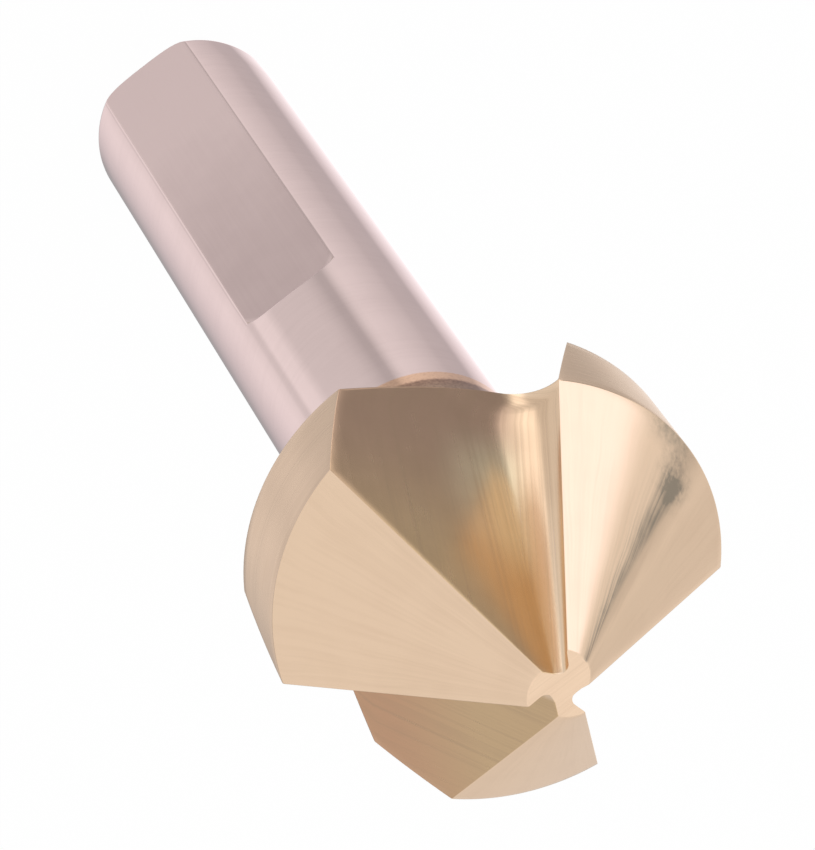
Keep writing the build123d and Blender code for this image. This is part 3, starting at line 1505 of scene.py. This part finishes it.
@dataclass(frozen=True)
class SoftBox:
    """A stretch of the light tent that is lighter or darker than the rest. Its angles are in degrees."""

    azimuth: float
    elevation: float
    half_width: float
    half_height: float
    edge: float
    strength: float
    front_edge: float = 0.1

    def mask(self, graph: Graph, direction: Sock) -> Sock:
        """Find how much of a direction lies in the box.

        Args:
            graph: The world's graph.
            direction: The direction.

        Returns:
            1 in the box, falling to 0 over its edge.
        """
        front = heading(self.azimuth, self.elevation)
        side = Vector((0, 0, 1)).cross(front).normalized()
        product = {"operation": "DOT_PRODUCT"}
        ahead, aside, upwards = (
            graph.node("ShaderNodeVectorMath", product, {0: direction, 1: tuple(axis)}, "Value")
            for axis in (front, side, front.cross(side))
        )
        mask = smooth(ahead, 0.0, self.front_edge)
        for share, half in ((aside, self.half_width), (upwards, self.half_height)):
            off = share.turn_from(ahead).absolute()
            mask = mask * smooth(off, math.radians(half + self.edge), math.radians(half - self.edge))
        return mask


@dataclass
class Studio:
    """The camera, the floor and the light tent.

    Angles are in degrees, and light levels are shares of white.
    """

    aim: Point = (-0.711 * MM, 0.053 * MM, 38.101 * MM)
    distance: float = 235.131 * MM
    azimuth: float = -94.232
    elevation: float = 59.328
    roll: float = -145.989
    lens: float = 216.753
    sensor: float = 36.0
    nearest: float = 0.01
    floor_radius: float = 2.0
    floor_sides: int = 96
    paper: float = 0.9
    paper_glow: float = 0.98
    tent: float = 0.8
    top: float = 0.12
    top_edge: Range = (0.55, 0.8)
    below_edge: Range = (-0.62, -0.76)
    key: SoftBox = SoftBox(194, 24, 30, 22, 8, 0.52)
    key_tint: Colour = (0.95, 0.965, 1.07)
    boxes: tuple[SoftBox, ...] = (
        SoftBox(189, -20, 17, 12, 4, -0.42),
        SoftBox(143, -2, 5, 14, 4, -0.2),
        SoftBox(-140, -24, 9, 13, 4, 0.75),
        SoftBox(16, -26, 28, 12, 6, -0.18),
        SoftBox(124, -10, 11, 12, 4, -0.1),
        SoftBox(72, -30, 26, 12, 5, -0.08),
    )
    # Azimuth and light level, round the foot of the tent.
    foot: tuple[Range, ...] = (
        (-180, 0.71), (-154, 0.86), (-142, 0.90), (-136, 0.86), (-130, 0.70), (-126, 0.56), (-120, 0.56),
        (-112, 0.66), (-104, 0.73), (-96, 0.76), (-58, 0.78), (-52, 0.86), (-46, 0.96), (-32, 0.99),
        (-27, 0.80), (-22, 0.81), (-18, 0.93), (-6, 1.0), (6, 0.97), (18, 0.89), (34, 0.75), (46, 0.62),
        (60, 0.46), (82, 0.38), (90, 1.3), (98, 1.35), (110, 1.22), (130, 1.0), (142, 0.78), (148, 0.60),
        (172, 0.64), (180, 0.71),
    )

    def add_camera(self) -> None:
        """Create the camera and make it the scene's."""
        back, roll = heading(self.azimuth, self.elevation), math.radians(self.roll)
        level = Vector((0, 0, 1)).cross(back).normalized()
        right = level * math.cos(roll) - back.cross(level) * math.sin(roll)
        turn = Matrix((right, back.cross(right), back)).transposed().to_4x4()
        data = bpy.data.cameras.new("camera")
        data.sensor_fit = "VERTICAL"
        data.sensor_height = self.sensor
        data.lens = self.lens
        data.clip_start = self.nearest
        camera = bpy.data.objects.new("camera", data)
        camera.matrix_world = Matrix.Translation(Vector(self.aim) + back * self.distance) @ turn
        bpy.context.collection.objects.link(camera)
        bpy.context.scene.camera = camera

    def add_floor(self) -> None:
        """Lay the floor. It keeps the tool's shadow, and metal shows the tent in its place."""
        sides, radius = self.floor_sides, self.floor_radius
        bpy.ops.mesh.primitive_circle_add(vertices=sides, radius=radius, fill_type="NGON")
        floor = bpy.context.object
        floor.name = "floor"
        floor.visible_glossy = False
        material = bpy.data.materials.new("floor_paper")
        material.use_nodes = True
        graph = Graph(material.node_tree)
        seen = graph.node("ShaderNodeLightPath", output="Is Camera Ray")
        paper = graph.node("ShaderNodeBsdfDiffuse", {}, {"Color": (self.paper, self.paper, self.paper, 1)})
        glow = graph.node("ShaderNodeEmission", {}, {"Color": (1, 1, 1, 1), "Strength": 1.0})
        surface = graph.node("ShaderNodeMixShader", {}, {0: seen * self.paper_glow, 1: paper, 2: glow})
        graph.node("ShaderNodeOutputMaterial", {}, {"Surface": surface})
        floor.data.materials.append(material)

    def foot_level(self, graph: Graph, azimuth: Sock) -> Sock:
        """Find the light level round the foot of the tent.

        Args:
            graph: The world's graph.
            azimuth: The azimuth, in radians.

        Returns:
            The level.
        """
        # A ramp's colours end at 1, so its stops hold half of each level.
        stops = [((angle + 180) / 360, (level / 2,) * 3) for angle, level in self.foot]
        ramp = graph.node("ShaderNodeValToRGB", {"stops": stops}, {0: azimuth * (0.5 / math.pi) + 0.5})
        return graph.node("ShaderNodeRGBToBW", {}, {0: ramp}) * 2

    def add_world(self) -> None:
        """Surround the tool with the light tent, which the camera sees as white."""
        world = bpy.data.worlds.new("light_tent")
        world.use_nodes = True
        bpy.context.scene.world = world
        graph = Graph(world.node_tree)
        direction = graph.node("ShaderNodeTexCoord", output="Generated")
        parts = graph.split(direction)
        key = self.key.mask(graph, direction)
        level = self.tent + key * self.key.strength
        for box in self.boxes:
            level = level + box.mask(graph, direction) * box.strength
        level = level + smooth(parts["Z"], *self.top_edge) * self.top
        foot = self.foot_level(graph, parts["Y"].turn_from(parts["X"]))
        level = smooth(parts["Z"], *self.below_edge).choose(level, foot)
        seen = graph.node("ShaderNodeLightPath", output="Is Camera Ray")
        tint = mix_colour(key * (1 - seen), (1.0, 1.0, 1.0), self.key_tint, graph)
        values = {"Color": tint, "Strength": seen.choose(level, 1.0)}
        background = graph.node("ShaderNodeBackground", {}, values)
        graph.node("ShaderNodeOutputWorld", {}, {"Surface": background})

    def build(self) -> None:
        """Add the camera, the floor and the tent."""
        self.add_camera()
        self.add_floor()
        self.add_world()




def main() -> None:
    """Build the studio, then the tool, and log the tool's number of faces."""
    Studio().build()
    bpy.context.scene.view_settings.view_transform = "Standard"
    blank, columns = Blank(), Columns()
    tool = CountersinkBit(blank, columns, MilledShank(columns), CuttingHead(blank, columns))
    materials = finishes()
    item = tool.build(materials[Region.SHANK])
    tool.dress(item, materials)
    LOG.info("%s: %d faces", item.name, len(item.data.polygons))


if __name__ == "__main__":
    logging.basicConfig(level=logging.INFO)
    main()
